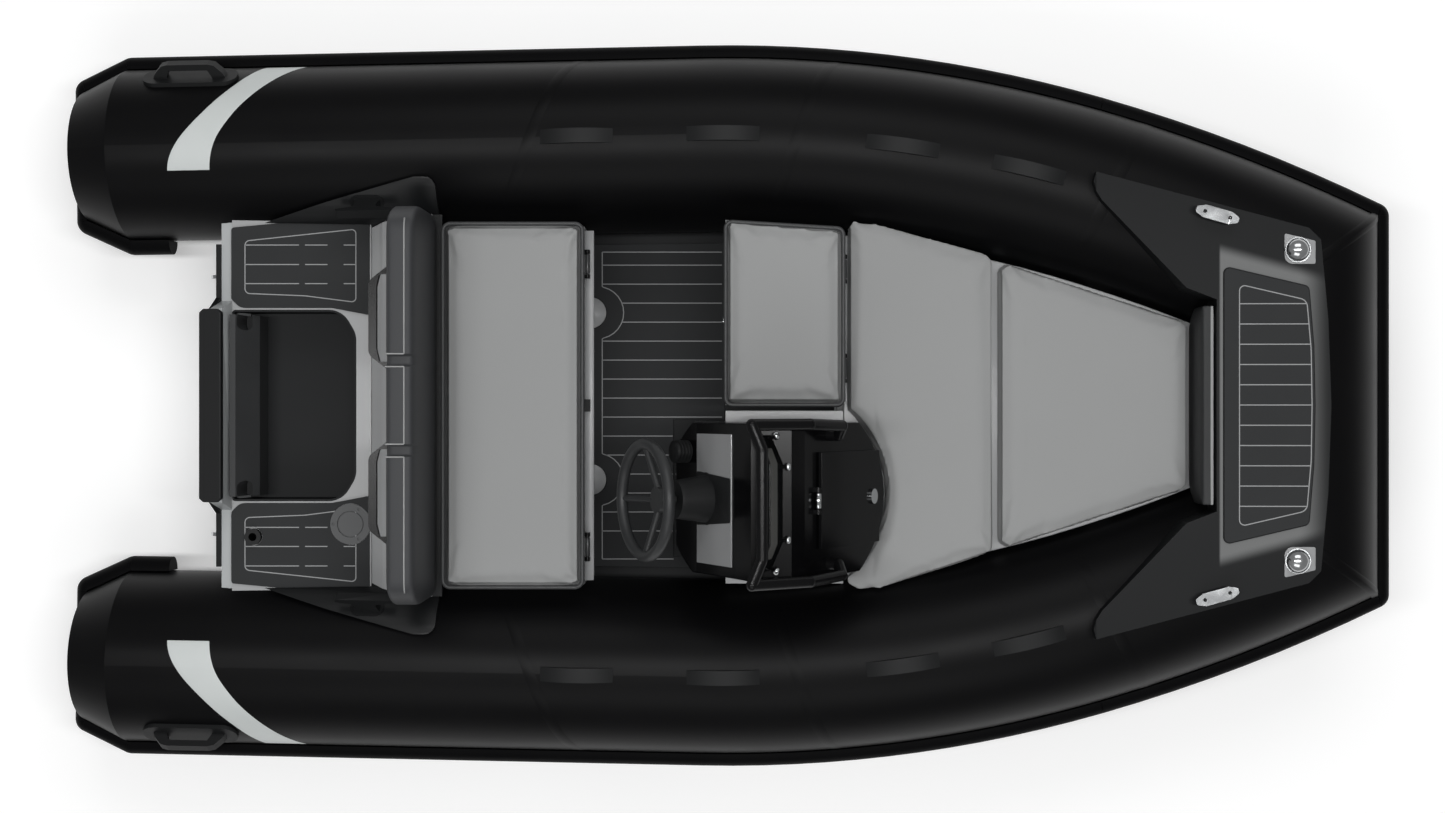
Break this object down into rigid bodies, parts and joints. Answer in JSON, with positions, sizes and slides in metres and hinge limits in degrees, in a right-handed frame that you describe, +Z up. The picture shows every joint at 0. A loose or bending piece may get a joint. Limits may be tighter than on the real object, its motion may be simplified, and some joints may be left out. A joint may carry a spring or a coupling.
{
  "type": "inflatable rib boat",
  "caption": "Small rigid-hull inflatable boat with an air-tube collar, side console, lidded bench and port seat, padded bow deck and a transom for an outboard.",
  "frame": {"origin": "amidships on the centreline, on the waterline", "axes": "+X to the bow, +Y to port, +Z up"},
  "size_m": [3.3111, 1.8, 1.1333],
  "materials": {
    "tube_fabric": "coated cloth, satin",
    "strake_rubber": "extruded, satin",
    "hull_aluminium": "powder coated, satin",
    "light_moulding": "moulded, satin",
    "dark_moulding": "moulded, satin",
    "foam_mat": "brushed foam",
    "light_upholstery": "coated cloth, matt",
    "dark_upholstery": "coated cloth, matt",
    "black_plastic": "moulded",
    "gloss_black": "moulded, gloss",
    "stainless": "polished",
    "black_tubing": "powder coated",
    "tinted_screen": "tinted acrylic"
  },
  "bodies": {
    "boat": {"hull": "hull_aluminium", "towing_eyes": "stainless", "deck_plate": "dark_moulding", "floor_mat": "foam_mat", "transom": "hull_aluminium", "clamp_pad": "black_plastic", "transom_trim": "black_plastic", "transom_cap": "black_plastic", "well_ledge": "black_plastic", "well_tray": "dark_moulding", "aft_deck": "light_moulding", "step_mats": "foam_mat", "filler_cap": "black_plastic", "pole_socket": "black_plastic", "tube_aft_port": "tube_fabric", "tube_aft_starboard": "tube_fabric", "tube_mid_port": "tube_fabric", "tube_mid_starboard": "tube_fabric", "tube_fore_port": "tube_fabric", "tube_fore_starboard": "tube_fabric", "tube_bow": "tube_fabric", "strake_port": "strake_rubber", "strake_starboard": "strake_rubber", "strake_bow": "strake_rubber", "soft_handles": "black_plastic", "lift_handles": "black_plastic", "bow_handle": "black_plastic", "aft_wings": "dark_moulding", "aft_cleats": "black_plastic", "bench_box": "light_moulding", "bench_buffer": "black_plastic", "hinge_pins": "stainless", "back_plinth": "light_moulding", "backrest": "dark_upholstery", "backrest_rails": "black_tubing", "seat_box": "light_moulding", "seat_latch": "stainless", "bow_locker": "light_moulding", "sunpad_aft": "light_upholstery", "sunpad_fore": "light_upholstery", "riser_pad": "light_upholstery", "nose": "dark_moulding", "nose_mat": "foam_mat", "bow_cleats": "stainless", "nav_lights": "stainless", "console_plinth": "light_moulding", "console": "gloss_black", "dash_panel": "gloss_black", "windscreen": "tinted_screen", "console_rail": "black_tubing", "helm": "black_plastic"},
    "wheel": {"steering_wheel": "black_plastic"},
    "bench_lid": {"bench_lid": "dark_moulding", "bench_cushion": "light_upholstery"},
    "seat_lid": {"seat_lid": "dark_moulding", "seat_cushion": "light_upholstery"},
    "console_hatch": {"console_hatch": "gloss_black", "hatch_latch": "stainless"}
  },
  "joints": [
    {"name": "wheel_turn", "type": "hinge", "parent": "boat", "child": "wheel", "pos_m": [-0.178, -0.215, 0.72], "axis": [-0.891, 0, 0.454], "range_deg": [-630, 630]},
    {"name": "bench_lid_lift", "type": "hinge", "parent": "boat", "child": "bench_lid", "pos_m": [-0.332, 0, 0.38], "axis": [0, 1, 0], "range_deg": [0, 80]},
    {"name": "seat_lid_lift", "type": "hinge", "parent": "boat", "child": "seat_lid", "pos_m": [0.293, 0.21, 0.42], "axis": [0, 1, 0], "range_deg": [0, 90]},
    {"name": "console_hatch_lift", "type": "hinge", "parent": "boat", "child": "console_hatch", "pos_m": [0.21319, -0.215, 0.76069], "axis": [0, -1, 0], "range_deg": [0, 90]}
  ]
}
